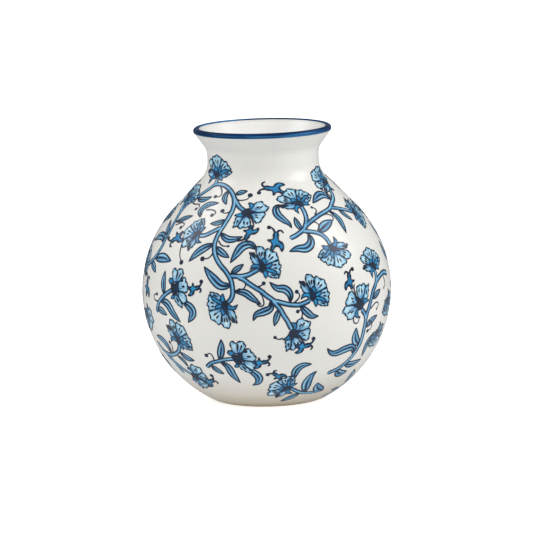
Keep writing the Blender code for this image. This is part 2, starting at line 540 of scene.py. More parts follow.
def paint_stem(painting, stroke, width):
    """A stem: a dark band with a blue core and a pale streak."""
    widths = rounded(stroke, width)
    painting.line(stroke, widths, STEM)
    painting.line(stroke, scaled(widths, CORE_PART), STEM_CORE, BLUE_PAINT)
    light = [STREAK_PART * w * (1 + 0.5 * math.sin(7 * share + stroke.length))
             for w, share in zip(widths, stroke.shares)]
    painting.band(stroke, scaled(light, 1.5), scaled(light, -0.5), STEM_LIGHT, WASH_PAINT)


def paint_tendril(painting, stroke, radius, width=1.0):
    """A thin curl, perhaps ending in a ball."""
    painting.line(stroke, lambda share: width * (1.3 - 0.5 * share), STEM)
    if radius:
        painting.ball(*stroke.places[-1], radius)


def paint_dash(painting, chart, dash):
    """A drop-shaped brush mark on a petal: start, end and perhaps how full it is."""
    start, end, *fullness = dash
    start, end = (Vector(start).lerp(Vector(end), part) for part in DASH_REACH)
    widest = DASH_WIDTH * fullness[0] if fullness else DASH_WIDTH
    flat = smooth_curve([start, start.lerp(end, 0.5), end], step=DASH_STEP)
    stroke = Stroke([chart.place(p) for p in flat])
    painting.line(stroke, lambda share: widest * drop_shape(share), PETAL_LINE)


def paint_flower(painting, motif, chart):
    """A flower from its motif: petals, marks, sepals and a dark throat, then its own stem and leaves."""
    painting.centre = chart.place((0.0, 0.0))
    for petal in motif["petals"]:
        painting.petal(chart, petal)
    for dash in motif["dashes"]:
        paint_dash(painting, chart, dash)
    for sepal in motif["sepals"]:
        painting.shape(chart, sepal, SEPAL, BRIGHT_PAINT, SEPAL_EDGE)
    for throat in motif["throats"]:
        painting.fill(chart, smooth_curve(throat, closed=True), SEPAL_LINE, NAVY_PAINT)
    for width, *points in motif.get("strokes", []):
        painting.line(chart.stroke(points), lambda share: width * (1 - 0.5 * share), SEPAL_LINE)
    for points in motif.get("stems", []):
        paint_stem(painting, chart.stroke(points), MOTIF_STEM_WIDTH)
    for width, *points in motif.get("leaves", []):
        paint_leaf(painting, chart.stroke(points), width)
    for radius, *points in motif.get("tendrils", []):
        paint_tendril(painting, chart.stroke(points), radius)


def paint_bud(painting, chart):
    """A closed bud with its two curls."""
    painting.shape(chart, BUD, SEPAL, BRIGHT_PAINT, BUD_EDGE)
    for radius, *points in BUD_CURLS:
        paint_tendril(painting, chart.stroke(points), radius, CURL_WIDTH)


# Motifs. Points are millimetres from the throat; a third value marks a corner. A stroke, a leaf and a
# tendril start with the width or the ball's radius.
FAN = {
    "petals": [
        [(-2.8, 2.1), (-5.6, 2.6), (-7.2, 4.2), (-8.3, 7.4), (-8.9, 11.4, 1), (-7.2, 11.2), (-5.1, 9.8),
         (-3.1, 6.3), (-1.6, 2.6)],
        [(1.7, 2.6), (2.1, 9), (2.4, 12.7), (3.7, 13.6), (5.3, 13.3), (6.6, 12.1), (7.2, 11, 1),
         (8.7, 11.7), (10.2, 9.8), (11.2, 7.1), (11.3, 5, 1), (8.7, 4.5), (4.5, 2.6)],
        [(-1, 4.2), (-3.4, 9), (-4.4, 11.9), (-4, 14.7), (-2.5, 15.9), (-0.3, 15.3), (1.4, 13.8),
         (2.2, 11.9), (2, 9), (0.3, 4.2)],
        [(4.5, 2.1), (8.7, 4.1), (11.3, 4.8), (12, 2.6), (13.2, 1), (13, -0.8), (12, -1.9, 1), (13, -3.2),
         (12.6, -5), (11.5, -5.8), (9.6, -3.2), (6.7, -1.3), (3.4, -0.3)],
        [(3.1, -2.6), (7.3, -4), (10.4, -5), (12, -7.8, 1), (7.9, -7.7), (3.9, -6.1), (2.8, -4)],
    ],
    "sepals": [
        [(-2.2, 1.9), (-5.1, 2.5), (-7.2, 2), (-8.4, 0), (-8.8, -1.5, 1), (-6.6, -0.1), (-4.5, 0),
         (-2.4, -1.3)],
        [(0.3, -2.1), (1, -5.3), (2.1, -7.8, 1), (3.5, -5.9), (2.8, -2.6)],
        [(2.2, -0.8), (6.2, -1.2), (9.4, -3.2), (11.2, -5.9, 1), (7, -4), (2.8, -2.5)],
        [(-1.4, 2.6), (-0.6, 5.3), (0.7, 6.8), (2.2, 6.2), (2.7, 3.7), (2, 1.6)],
        [(2.2, 1.1), (4.5, 2.5), (6.5, 2.8), (6.9, 1.5), (4.9, -0.1), (2.7, -0.6)],
    ],
    "throats": [
        [(-0.5, 5), (1.2, 3.6), (2.6, 1.2), (2.6, -1), (1.4, -3), (-0.6, -3.9), (-2, -2.6), (-2.4, -0.2),
         (-1.9, 2.2)],
    ],
    "dashes": [
        ((1.6, 11.2), (1.7, 8.4), 1.2), ((-7.2, 10.4), (-5.6, 7.6), 1.8), ((11.4, 5), (8.8, 4.4), 1.2),
        ((-2.2, 11), (-1.6, 8.6)), ((-0.2, 11.2), (-0.4, 8.8)), ((5.6, 9.4), (4.6, 7.6)),
        ((7.6, 7.6), (6, 6)), ((9.8, 1.8), (7.8, 1.6)), ((10.4, -0.8), (8.4, -0.6)),
        ((8.8, -6.2), (6.4, -5.4)),
    ],
}
DOUBLE = {
    "petals": [
        [(1.1, 1.8), (2.9, 5.5), (5.8, 8.8), (8.9, 9), (10.3, 7.6, 1), (12.1, 5.5), (14.6, 4.5, 1),
         (14.1, 2.1), (12.1, 0.1), (6.3, -0.4), (2.1, 0)],
        [(2.6, -1.5), (6.8, -0.7), (12.1, -0.5), (12.5, -3), (11.5, -5.2), (10.5, -5.9, 1), (10.8, -7.6),
         (8.9, -9.1), (7.4, -10.2, 1), (5.3, -7.3), (3.4, -4.2)],
        [(-4.7, -4.1), (-7.6, -4.5), (-8.7, -7.3), (-9.5, -13.6, 1), (-7.1, -12.4), (-5.4, -10),
         (-3.9, -6.7), (-3.3, -4.5)],
        [(-2.4, -4.2), (-3.9, -7.3), (-5.4, -10.9), (-6.2, -13.2, 1), (-3.8, -14.2), (-1.6, -13, 1),
         (0.6, -13.5), (2.9, -11.8, 1), (2.9, -9.4), (2, -6.4), (0.8, -4.2)],
    ],
    "sepals": [
        [(0.5, 2.4), (0.9, 4.8), (-0.5, 8.2, 1), (1.8, 8), (3.7, 5.8), (2.2, 2.7)],
        [(-3.9, -0.3), (-6.3, -1.5), (-9.7, -2.9, 1), (-7.4, -3.9), (-3.4, -3.8)],
    ],
    "throats": [
        [(-4, 1.4), (-0.5, 3.4), (2.6, 1.6), (7, 0.2, 1), (3.2, -1.4), (2.4, -3.2), (1, -5.2),
         (-1.6, -3.6), (-4.8, -2.8, 1), (-4.4, -0.6)],
    ],
    "strokes": [(1.6, (2, -3), (4.4, -8), (5.4, -11.6), (5, -14.5))],
    "dashes": [
        ((7.2, 4.6), (5.4, 3.2)), ((9.8, 4.8), (7.9, 3.4)), ((6.8, -3), (5.4, -2.4)),
        ((7.8, -5), (6.2, -4.4)), ((-2, -8.6), (-1.6, -10.8)), ((0.8, -9), (0.6, -11)),
        ((-6.6, -7.4), (-7.2, -9.8)),
    ],
}
SPRIG = {
    "petals": [
        [(-2.4, 4.8), (-3.2, 8.4), (-3.9, 12), (-2.4, 14.4), (-0.5, 12.9), (1.8, 13.3), (4.5, 14.5),
         (6.6, 12.7), (7.4, 10.8), (5.5, 6.6), (3.4, 4.8)],
        [(3.9, 4.2), (6.6, 7.2), (9.2, 8.4), (11.3, 5.4), (13.4, 2.4), (13.2, -1.2), (10.3, -2.4),
         (4.5, -1.2)],
        [(4.5, -2.4), (9.2, -2.4), (12.4, -5.4), (12.9, -7.2), (10.8, -10.2), (8.2, -9.6), (5, -6)],
        [(0.3, -5.4), (1.3, -9), (3.9, -11.4), (7.6, -13.3), (8.7, -12), (6.6, -9), (3.9, -5.4)],
    ],
    "sepals": [
        [(-1.8, 4.8), (-5, 6.6), (-6.8, 4.8), (-4.5, 2.4), (-2.4, 1.8)],
        [(-1.8, -5.4), (-2.9, -7.8), (-1.3, -8.1), (0.3, -6)],
    ],
    "throats": [[(-3.4, 3.6), (0, 3.2), (3.9, 3.9), (3.6, -2.4), (0.8, -6), (-2.4, -3.6), (-3.9, 0)]],
    "dashes": [
        ((1.6, 11.4), (1.1, 7.2), 1.3), ((4.5, 10.8), (3.7, 7.8)), ((7.6, 6.6), (6.1, 5.4), 2),
        ((9.7, 1.8), (7.6, 1.8), 1.3), ((4.6, -9.6), (2.6, -7), 1.2),
    ],
}
CUT_SPRIG = {
    **SPRIG,
    "stems": [[(-26.5, -10), (-21.5, -5.5), (-16, -3.4), (-9, -1.4), (-2, -0.4)]],
    "leaves": [
        (6.2, (-14, -2.5), (-12, 4.8), (-10.8, 10.8), (-10.6, 15.8)),
        (6.6, (-14, -3.5), (-8.5, -8), (-6, -15.5), (-1.8, -24.5)),
        (5.2, (-22.5, -7.5), (-17.5, -12), (-12.5, -15.5)),
        (6.8, (4, -9.5), (10, -13), (12.8, -18.5), (11, -24), (6.5, -27)),
    ],
    "tendrils": [(1.6, (-18.5, -3.5), (-19.3, 1), (-21.5, 3.2), (-24.5, 1.2))],
}
BUD = [(0, 0), (0.9, 3.2), (0, 5.6), (-2, 7.1, 1), (0.5, 7.2), (2.1, 8.2), (2.6, 11.5), (3.3, 12.9),
       (5.3, 12.6), (5.4, 9.1), (5.9, 6.2), (7.9, 4.4), (9.2, 1.5), (7.6, -1.8, 1), (6.3, 0.9),
       (4.5, 2.4), (2.6, 1.5), (1.3, -0.9)]
BUD_CURLS = [(1.6, (3.4, 12.9), (2.6, 15.3), (1, 17.2), (-0.6, 17.4)),
             (0.0, (5, 12.9), (6.1, 14.1), (7.9, 14.4), (9.6, 12.1))]


# --- layout of the painting

# Each flower: name, motif, azimuth, arc and perhaps its turn in degrees and its scale
FLOWERS = [
    ("shoulder_left", FAN, -52.8, 105.3, 46, 1.02),
    ("shoulder_middle", DOUBLE, -11, 74.5),
    ("upper_left", FAN, -40, 54, 125, 0.95),
    ("middle_high", FAN, -1.7, 30),
    ("middle_left", FAN, -19.2, 2.6, 175, 1.05),
    ("middle_right", FAN, 21, 7.5),
    ("middle_low", DOUBLE, 12, -18.5, 16, 0.93),
    ("shoulder_right", FAN, 25.3, 80, 60),
    ("upper_right", FAN, 35.5, 40.5, -125, 1.05),
    ("shoulder_far_right", FAN, 68.5, 95, 90),
    ("far_right_high", FAN, 69.5, 64, -60),
    ("far_right", FAN, 61, 21.5, 50),
    ("right_low", DOUBLE, 46.5, -4, 175, 1.1),
    ("left_sprig", SPRIG, -47, 12.5),
    ("low_sprig", CUT_SPRIG, -15.6, -38.5),
    ("foot_sprig", FAN, 11.5, -70, 112, 0.98),
    ("left_low", FAN, -48, -27, 5),
    ("left_foot", DOUBLE, -47.5, -59, 25, 0.95),
    ("far_left", DOUBLE, -76, -12, -30),
    ("shoulder_far_left", FAN, -74, 80.5, 35),
    ("right_edge", FAN, 74, -7, -110, 0.9),
    ("right_foot", FAN, 66, -29.5, -110, 0.9),
    ("side_high", FAN, 92, 61, 40, 0.88),
    ("side_right", FAN, 97, 24, -15, 0.85),
    ("side_low", FAN, 98, -52, -100, 0.85),
]

# Each bud: flower it belongs to, azimuth, arc and perhaps its turn, its scale and whether it is mirrored
BUDS = [
    ("middle_high", 2.8, 43.5),
    ("shoulder_right", 15.5, 90.5, 84),
    ("shoulder_middle", -8.5, 62.5, 147, 0.8, True),
    ("middle_low", 13, -28.5, -75, 0.8),
    ("right_low", 42.5, 9.5, -10, 0.8, True),
    ("upper_left", -52, 54.5, 118, 0.9, True),
    ("left_sprig", -38.5, 14, -68, 0.7),
    ("low_sprig", -8, -41, -75, 0.75),
    ("foot_sprig", 6.5, -60, 56, 0.66),
    ("left_foot", -43, -64, -60, 0.8),
    ("far_left", -74, 2, 10, 0.9),
    ("side_high", 90, 85, 10, 0.8),
]

# Stems of each spray: (azimuth, arc) points
STEMS = {}
STEMS["left"] = [
    [(-76.5, 24), (-70, 30), (-66, 38.5), (-65, 46.5), (-65, 54), (-66.5, 63), (-68, 70), (-67, 77),
     (-62, 83), (-57.5, 88.5), (-53, 93.5), (-49.5, 97), (-43.5, 98.3), (-36, 97), (-29.5, 93.6),
     (-25, 89), (-22.5, 83.5), (-22, 77), (-23, 70.5), (-24.5, 63.5), (-26, 58), (-27, 52.5), (-27.3, 47),
     (-26.5, 41.5), (-24.8, 36.5), (-22, 31.3), (-19.5, 27.6), (-17.2, 22.9), (-16.2, 19.4),
     (-15.6, 14.3), (-15.6, 10.6), (-16.5, 7), (-18.2, 4.5)],
    [(-50.5, 96), (-49.5, 99.5), (-50.5, 103), (-52, 106)],
    [(-68, 69), (-71, 73.5), (-74, 78)],
    [(-24.5, 88.5), (-21, 83.5), (-17.5, 79), (-13, 75.5)],
    [(-26, 61), (-28.4, 58.8), (-31.4, 56.2), (-34.2, 54), (-37, 53.2), (-39.5, 53.8)],
    [(-17, 24.3), (-14.8, 23.9), (-11.8, 23.8), (-8.7, 24.8), (-6, 26.9), (-4, 28.6), (-2.3, 29.8)],
    [(-13.4, 23.1), (-10.7, 21.7), (-8, 18.6), (-5, 15.5), (-2.4, 12.9), (-0.3, 9.9), (1.5, 7.8),
     (3.4, 5.6), (5.3, 4.8), (7.9, 3.5), (10.4, 2.5), (13.4, 2), (14.6, 2), (17.7, 3.4), (19.8, 5)],
    [(2.3, 6), (3.8, 3.5), (5.8, -0.5), (7.3, -5), (8.8, -9), (10, -13), (11, -16.5)],
]
STEMS["right"] = [
    [(13, 51), (16.2, 52.8), (19.7, 55.4), (22.3, 57.7), (24.4, 60.5), (27.4, 63), (32, 66), (38, 69),
     (45, 71.4), (48, 72.7), (53, 76.4), (58.8, 80.3), (63, 85), (65, 90.5), (67, 93.5)],
    [(22.3, 57.7), (24.6, 62.2), (26.2, 67), (26.6, 72), (26.3, 76), (25.7, 79)],
    [(21.5, 56), (25.3, 55.3), (29.2, 53.9), (32.2, 51.3), (34, 47.6), (34.7, 44.4), (35.2, 42)],
    [(49, 72.7), (52.6, 72), (57.8, 70), (62.7, 67.8), (67.5, 65)],
]
STEMS["low_right"] = [
    [(34.5, -57.8), (40.5, -55), (45.5, -50), (49, -43.5), (51, -37.5), (51.6, -30.5), (51.7, -21.5),
     (52.3, -12.5), (54.5, -4.5), (57, 3.5), (60.5, 9.5), (61.5, 14.5), (61, 20.5)],
    [(60.5, 10), (66, 13.6), (71, 14.6), (76, 12.5)],
    [(52.2, -16.5), (51, -12), (48, -7)],
    [(60, -62), (64, -70), (66, -77), (64, -83), (58, -88), (50, -92)],
]
STEMS["low_left"] = [
    [(-48, -29), (-49, -34), (-52, -38), (-57, -41), (-62, -41.5), (-67, -39.5), (-71, -33)],
    [(-65, -41), (-62.5, -46), (-58, -50.5), (-54, -55), (-49.5, -58.5)],
    [(-61, -42), (-61, -47.5), (-59, -53.5), (-57.5, -59)],
]
STEMS["left_sprig"] = [[(-61, -8.5), (-60.5, -4.4), (-58, 1), (-54, 6), (-48, 11.5)]]
STEMS["side"] = [
    [(94, -78), (90, -64), (88.5, -50), (89, -36), (91.5, -24), (92, -12), (91, -1), (88.5, 9),
     (86.8, 20), (87.5, 32), (90.5, 44), (92, 58)],
    [(87.3, 15), (90, 21.5), (96, 23.5)],
    [(88.8, -56), (93, -51), (97.5, -51)],
]
STEMS["foot_sprig"] = [[(38.5, -78.5), (32.5, -79.5), (25.5, -78.8), (19, -75.5), (13.5, -70.5)]]

STEM_WIDTHS = {
    "left": 4.0, "right": 3.9, "low_right": 4.3, "low_left": 3.7, "left_sprig": 3.7, "side": 3.8,
    "foot_sprig": 4.0,
}

# Leaves of each spray: width, then (azimuth, arc) points from base to tip
LEAVES = {}
LEAVES["left"] = [
    (4.2, (-24, 90), (-19, 92), (-13.5, 93.5)),
    (4.4, (-31, 94), (-32, 87.5), (-28, 80.5)),
    (4.8, (-59, 83.5), (-51, 83.5), (-44, 87)),
    (5.4, (-44, 68), (-47, 74.5), (-43.5, 79.5), (-34.5, 82)),
    (4.4, (-24.5, 67.5), (-29, 64.5), (-34.5, 63.5)),
    (4.6, (-64.5, 61), (-57, 65.5), (-51, 68.7)),
    (5.0, (-65.8, 49), (-69.5, 55), (-73, 61.5)),
    (6.4, (-65.8, 43.5), (-70, 47.5), (-76, 46.5), (-82, 41.5)),
    (7.0, (-68.5, 31), (-60, 32.5), (-52.5, 31.5)),
    (5.4, (-72, 27), (-67, 24), (-64, 20.5)),
    (6.0, (-27.5, 47.5), (-33, 43.5), (-36.5, 39.5), (-40.5, 32.5)),
    (5.2, (-25.5, 56.5), (-21, 51.8), (-17, 51.4), (-12, 53.8)),
    (5.2, (-26.5, 45.5), (-22.5, 41), (-18, 37.3)),
    (6.4, (-4.2, 43.5), (-8, 47.3), (-11.8, 46), (-14.4, 41), (-17.5, 33.2)),
    (4.4, (-16.8, 25.5), (-14, 28.8), (-10.6, 32.8)),
    (6.6, (-15.9, 17.5), (-21, 16.8), (-25.2, 21.5), (-31, 30.2)),
    (5.2, (-15, 13), (-10, 12), (-6.5, 8), (-2.5, 3.2)),
    (5.6, (1.6, 6), (1.4, 0.7), (-1.8, -2), (-5, -4), (-6.6, -8.8)),
    (4.6, (5.4, 0), (4.2, -5.7), (2.9, -13)),
    (5.6, (10.4, 4), (10.4, 10), (8.3, 13.8), (4.5, 15), (1.2, 19.6)),
    (5.2, (14.8, 1.8), (17.8, -3.6), (20.5, -7), (23.8, -7.4)),
]
LEAVES["right"] = [
    (5.8, (12.4, 80), (8.3, 78), (8.1, 72.5), (11.7, 66.5), (14.3, 63), (15.4, 59)),
    (4.4, (21, 56.5), (19.3, 62.5), (18.7, 69)),
    (6.4, (24, 54), (24.3, 47.2), (21.3, 43), (16.3, 42.8), (11.6, 41)),
    (7.2, (30.5, 54), (36, 58.5), (43.5, 62.5)),
    (5.0, (45.5, 71), (49, 63.5), (49.2, 57), (48.7, 49.7)),
    (4.4, (54.5, 71), (57.3, 64.5), (61, 58.5)),
    (6.6, (56.5, 79), (51, 85), (44.5, 84.5), (36, 79)),
]
LEAVES["low_right"] = [
    (4.6, (56.5, -1.5), (60.5, 1.2), (64.5, 3.7)),
    (5.2, (52, -22), (57, -18), (62, -15)),
    (7.0, (50.8, -36), (46.5, -29.5), (45.5, -20.5)),
    (6.4, (48.7, -44), (46.5, -37), (41, -37), (36, -39), (32.5, -38), (29.5, -33.5)),
    (6.0, (44.5, -51), (52, -53), (60, -50.5)),
    (6.8, (40.5, -55.5), (45, -60.5), (51.5, -60)),
    (6.0, (61.5, -29), (58.5, -37), (58.5, -48)),
    (7.0, (66, -77), (63, -69), (59.5, -60)),
    (4.0, (62.5, -85), (57, -81.5), (51, -81.5)),
]
LEAVES["low_left"] = [
    (6.0, (-58, -41), (-59, -34.5), (-62, -30), (-68.5, -27.5)),
    (5.2, (-50, -37.5), (-46, -41.5), (-41, -43.2)),
    (4.0, (-53.5, -41), (-50, -45), (-48.5, -51)),
]
LEAVES["side"] = [
    (6.0, (90.4, -65), (85, -61), (80, -53)),
    (5.2, (89, -50), (84, -44), (82.5, -35)),
    (5.4, (90, -32), (85.5, -27), (82, -20)),
    (5.0, (91, -25), (95, -23), (98.5, -26)),
    (5.0, (91.5, -7), (95.5, -2), (97, 6)),
    (5.0, (89.8, 4), (86, 1), (82, 5)),
    (6.0, (86, 21), (81.5, 28), (80.5, 37)),
    (5.2, (87.5, 34), (92.5, 38), (97, 44)),
    (4.6, (88, 37), (84.5, 45), (83.5, 53)),
]
LEAVES["foot_sprig"] = [
    (6.0, (14, -60), (14.5, -51.5), (17.5, -47), (23, -46.3)),
    (7.2, (25, -78), (23.2, -66.5), (24.3, -58.5), (27, -53.5)),
    (7.4, (40.5, -79.5), (33.5, -74), (30.8, -67)),
    (5.4, (21, -77), (18.5, -81), (14, -85.5), (8.5, -89.8)),
]
LEAVES["left_sprig"] = [
    (5.6, (-54, 6), (-55.5, 14), (-55.5, 24)),
    (6.4, (-57.5, 1.5), (-52, 0), (-48, -6.4), (-43.5, -12.5)),
    (6.4, (-41.5, 3), (-37.5, 0.1), (-35.8, -4.4), (-39, -12)),
    (5.0, (-60.5, -5.5), (-57, -5.8), (-52.5, -8.5)),
]

# Tendrils of each spray: radius of the ball at the end, then the curl's (azimuth, arc) points
TENDRILS = {}
TENDRILS["left"] = [
    (1.6, (-42, 97), (-37, 92), (-36.8, 87.8), (-41, 87.2)),
    (1.9, (-22.5, 86.5), (-18.5, 85), (-13, 86.2), (-11, 89.6)),
    (1.3, (-61, 79), (-56.5, 78.5), (-53, 79), (-51, 76.6), (-52.7, 74.6)),
    (1.6, (-42.5, 75), (-36.5, 75.3), (-33.7, 72.8), (-35.7, 70.8)),
    (1.7, (-22.7, 75.8), (-25, 73.8), (-27.5, 73.3), (-29.2, 75.2)),
    (1.5, (-62.5, 58.5), (-57, 61.5), (-54, 60), (-55.8, 57.4)),
    (1.9, (-49, 50), (-48.3, 42.5), (-47.3, 36.5), (-45, 31.6)),
    (1.9, (-27, 43), (-27.8, 38.6), (-29.6, 36.2), (-32.5, 35.6)),
    (1.0, (-25.5, 50), (-23, 46.4), (-19.5, 46)),
    (1.0, (-10, 22.5), (-9.6, 17.5), (-10.8, 14.6), (-12.5, 14.3)),
    (1.5, (-5, 16), (-2.8, 16.8), (-1.3, 18.6)),
    (1.1, (-4.5, 3.9), (-3.2, 2.2), (-1.6, 3), (-1.6, 6.5), (-2.4, 11)),
    (1.5, (12, 3.5), (14.2, 6.5), (14.8, 9.5), (13.6, 11.5)),
    (1.4, (14.6, -12), (15.8, -5.5), (15.2, -2), (13.7, -2.8)),
    (1.3, (7, -22.5), (4.6, -23), (3.2, -21.5)),
]
TENDRILS["right"] = [
    (1.0, (27, 62.5), (30.5, 62.8), (32.3, 60.1), (31, 56.2)),
    (1.6, (59, 80.5), (57, 84), (55.5, 87), (54, 90)),
    (1.1, (33, 69), (35.3, 71.5), (35.7, 74), (33.6, 75.6)),
    (0.0, (36, 67), (42, 68), (45.3, 65), (43.5, 61.5)),
]
TENDRILS["low_right"] = [
    (0.9, (55, -8.5), (59.5, -5), (62, -6.5), (60.5, -10)),
    (1.5, (54, -17), (57.5, -20), (57.5, -24), (55, -25.5)),
    (0.9, (69.5, 12), (70.5, 6), (68.5, 3.5)),
    (1.0, (43, -11), (43.5, -16), (46, -17), (47, -13)),
]
TENDRILS["low_left"] = [(1.4, (-56.5, -40), (-54.8, -34), (-55.5, -30.3))]
TENDRILS["side"] = [
    (1.5, (89, 9), (93.5, 7), (96, 9), (94.5, 12)),
    (1.6, (92, -15), (88, -14.5), (85.5, -12), (86.5, -9)),
    (1.5, (90.5, -66), (95, -68), (99.5, -66), (100, -62)),
]
TENDRILS["left_sprig"] = [(1.3, (-58.5, 0.5), (-62.5, 1), (-63.5, 4), (-60.5, 5.6))]


def paint_side(side, around):
    """The whole layout, turned round the vase by this many degrees."""
    for spray, stems in STEMS.items():
        painting = Painting(f"{spray}_stems_{side}", around)
        for points in stems:
            paint_stem(painting, stroke_through(points), STEM_WIDTHS[spray])
        for radius, *points in TENDRILS.get(spray, []):
            paint_tendril(painting, stroke_through(points), radius)
        painting.finish()
    for spray, leaves in LEAVES.items():
        painting = Painting(f"{spray}_leaves_{side}", around)
        for width, *points in leaves:
            paint_leaf(painting, stroke_through(points), width * LEAF_FULLNESS)
        painting.finish()
    for name, motif, *place in FLOWERS:
        painting = Painting(f"{name}_flower_{side}", around)
        paint_flower(painting, motif, Chart(*place))
        for owner, *bud_place in BUDS:
            if owner == name:
                paint_bud(painting, Chart(*bud_place))
        painting.finish()


# --- materials

def srgb(red, green, blue):
    """Linear colour of 0-255 screen values."""
    def linear(value):
        value /= 255
        return value / 12.92 if value <= 0.04045 else ((value + 0.055) / 1.055) ** 2.4
    return (linear(red), linear(green), linear(blue), 1.0)


UNTINTED = srgb(255, 255, 255)


class Nodes:
    """The node tree of a material or a world, and short ways to fill it."""

    def __init__(self, owner):
        owner.use_nodes = True
        self.tree = owner.node_tree

    def node(self, kind, inputs=(), **settings):
        """A new node; its inputs take numbers, colours or other nodes' sockets."""
        made = self.tree.nodes.new(kind)
        for key, value in settings.items():
            setattr(made, key, value)
        for key, value in dict(inputs).items():
            self.feed(made.inputs[key], value)
        return made

    def feed(self, target, value):
        """Link a socket to an input, or set the input to a value."""
        if isinstance(value, bpy.types.NodeSocket):
            self.tree.links.new(value, target)
        else:
            target.default_value = value

    def axis(self, vector, name):
        """One coordinate of a vector."""
        return self.node("ShaderNodeSeparateXYZ", {"Vector": vector}).outputs[name]

    def ramp(self, source, stops):
        """Colours by value: stops are (position, colour)."""
        ramp = self.node("ShaderNodeValToRGB")
        elements = ramp.color_ramp.elements
        while len(elements) < len(stops):
            elements.new(0.5)
        for element, (position, colour) in zip(elements, stops):
            element.position = position
            element.color = colour
        self.feed(ramp.inputs["Fac"], source)
        return ramp.outputs["Color"]

    def rescale(self, source, low, high, to_low=0.0, to_high=1.0):
        """A value moved from one range to another, clamped."""
        ends = {"From Min": low, "From Max": high, "To Min": to_low, "To Max": to_high}
        return self.node("ShaderNodeMapRange", {"Value": source, **ends}).outputs["Result"]


class Surface(Nodes):
    """A Principled material."""

    def __init__(self, name, roughness, specular=0.5):
        self.material = bpy.data.materials.new(name)
        super().__init__(self.material)
        self.shader = self.tree.nodes["Principled BSDF"]
        self.shader.inputs["Roughness"].default_value = roughness
        self.shader.inputs["Specular IOR Level"].default_value = specular

    def noise(self, scale, detail=3.0, stretch=(1.0, 1.0, 1.0), attribute=None):
        """Noise over the object, or over a stored attribute; returns its value's socket."""
        if attribute:
            source = self.node("ShaderNodeAttribute", attribute_name=attribute).outputs["Vector"]
        else:
            source = self.node("ShaderNodeTexCoord").outputs["Object"]
        mapping = self.node("ShaderNodeMapping", {"Vector": source, "Scale": stretch})
        inputs = {"Vector": mapping.outputs["Vector"], "Scale": scale, "Detail": detail}
        return self.node("ShaderNodeTexNoise", inputs).outputs["Fac"]

    def height(self, low, high):
        """0 at one height and 1 at another, in metres."""
        place = self.node("ShaderNodeTexCoord").outputs["Object"]
        return self.rescale(self.axis(place, "Z"), low, high)

    def mix(self, share, first, second, mode="MIX"):
        """One colour over another; each is a socket or a colour, and share a socket or a number."""
        made = self.node("ShaderNodeMix", data_type="RGBA", blend_type=mode)
        for name, value in (("Factor", share), ("A", first), ("B", second)):
            kind = "NodeSocketFloatFactor" if name == "Factor" else "NodeSocketColor"
            self.feed(next(s for s in made.inputs if s.name == name and s.bl_idname == kind), value)
        return next(s for s in made.outputs if s.bl_idname == "NodeSocketColor")

    def bump(self, source, strength, distance):
        """Small relief; the distance is in metres."""
        inputs = {"Strength": strength, "Distance": distance, "Height": source}
        self.feed(self.shader.inputs["Normal"], self.node("ShaderNodeBump", inputs).outputs["Normal"])

    def colour(self, source):
        self.feed(self.shader.inputs["Base Color"], source)

    def roughness(self, source):
        self.feed(self.shader.inputs["Roughness"], source)


GLOSS = (0.2, 0.28)            # roughness of the glaze, lowest and highest
FLOOR_GLOW = 0.7               # keeps the floor pale and free of shadow


def gloss(surface):
    """The fired glaze's own gloss: a little uneven, with a faint orange peel."""
    surface.roughness(surface.rescale(surface.noise(60.0), 0.35, 0.65, *GLOSS))
    surface.bump(surface.noise(240.0, 2.0), 0.06, 0.0002)


def white_glaze():
    surface = Surface("glossy_white_glaze", GLOSS[0])
    cloud = surface.ramp(surface.noise(22.0, 4.0), [
        (0.35, srgb(228, 227, 222)), (0.65, srgb(230, 229, 224))])
    # Painted contact shade and warm bounce light: the glaze grows darker and browner over its lowest 30
    # mm, towards the foot
    foot = surface.ramp(surface.height(0.0, 0.03), [
        (0.0, srgb(132, 114, 90)), (0.06, srgb(168, 153, 129)), (0.16, srgb(208, 198, 180)),
        (0.45, srgb(238, 233, 225)), (1.0, UNTINTED)])
    speck = surface.ramp(surface.noise(700.0, 1.0), [(0.2, srgb(236, 232, 225)), (0.25, UNTINTED)])
    surface.colour(surface.mix(1.0, surface.mix(1.0, cloud, foot, "MULTIPLY"), speck, "MULTIPLY"))
    gloss(surface)
    return surface.material


def lining_glaze():
    surface = Surface("lining_white_glaze", 0.25)
    surface.colour(surface.ramp(surface.noise(18.0, 4.0), [
        (0.35, srgb(234, 233, 229)), (0.65, srgb(240, 239, 236))]))
    gloss(surface)
    return surface.material


def flat_paint(name, colour, pooled):
    """Blue under the glaze, darker where the wash has pooled."""
    surface = Surface(name, GLOSS[0], 0.35)
    surface.colour(surface.ramp(surface.noise(150.0, 3.0), [(0.3, srgb(*pooled)), (0.68, srgb(*colour))]))
    gloss(surface)
    return surface.material


def petal_paint():
    """Pale blue, deeper along the petal's edge and towards the throat, streaked by the brush."""
    surface = Surface("petal_blue", GLOSS[0])
    brush = surface.node("ShaderNodeAttribute", attribute_name="brush").outputs["Vector"]
    inset = surface.node("ShaderNodeAttribute", attribute_name="inset").outputs["Fac"]
    body = surface.ramp(surface.rescale(inset, 0.3, 2.2), [
        (0.0, srgb(132, 194, 224)), (0.5, srgb(172, 216, 234)), (1.0, srgb(198, 228, 238))])
    throat = surface.ramp(surface.rescale(surface.axis(brush, "Z"), 3.0, 11.0), [
        (0.0, srgb(146, 194, 226)), (1.0, UNTINTED)])
    streaks = surface.ramp(surface.noise(1.0, 2.0, (6.0, 6.0, 0.12), "brush"), [
        (0.38, srgb(188, 213, 231)), (0.56, UNTINTED)])
    surface.colour(surface.mix(0.9, surface.mix(1.0, body, throat, "MULTIPLY"), streaks, "MULTIPLY"))
    gloss(surface)
    return surface.material


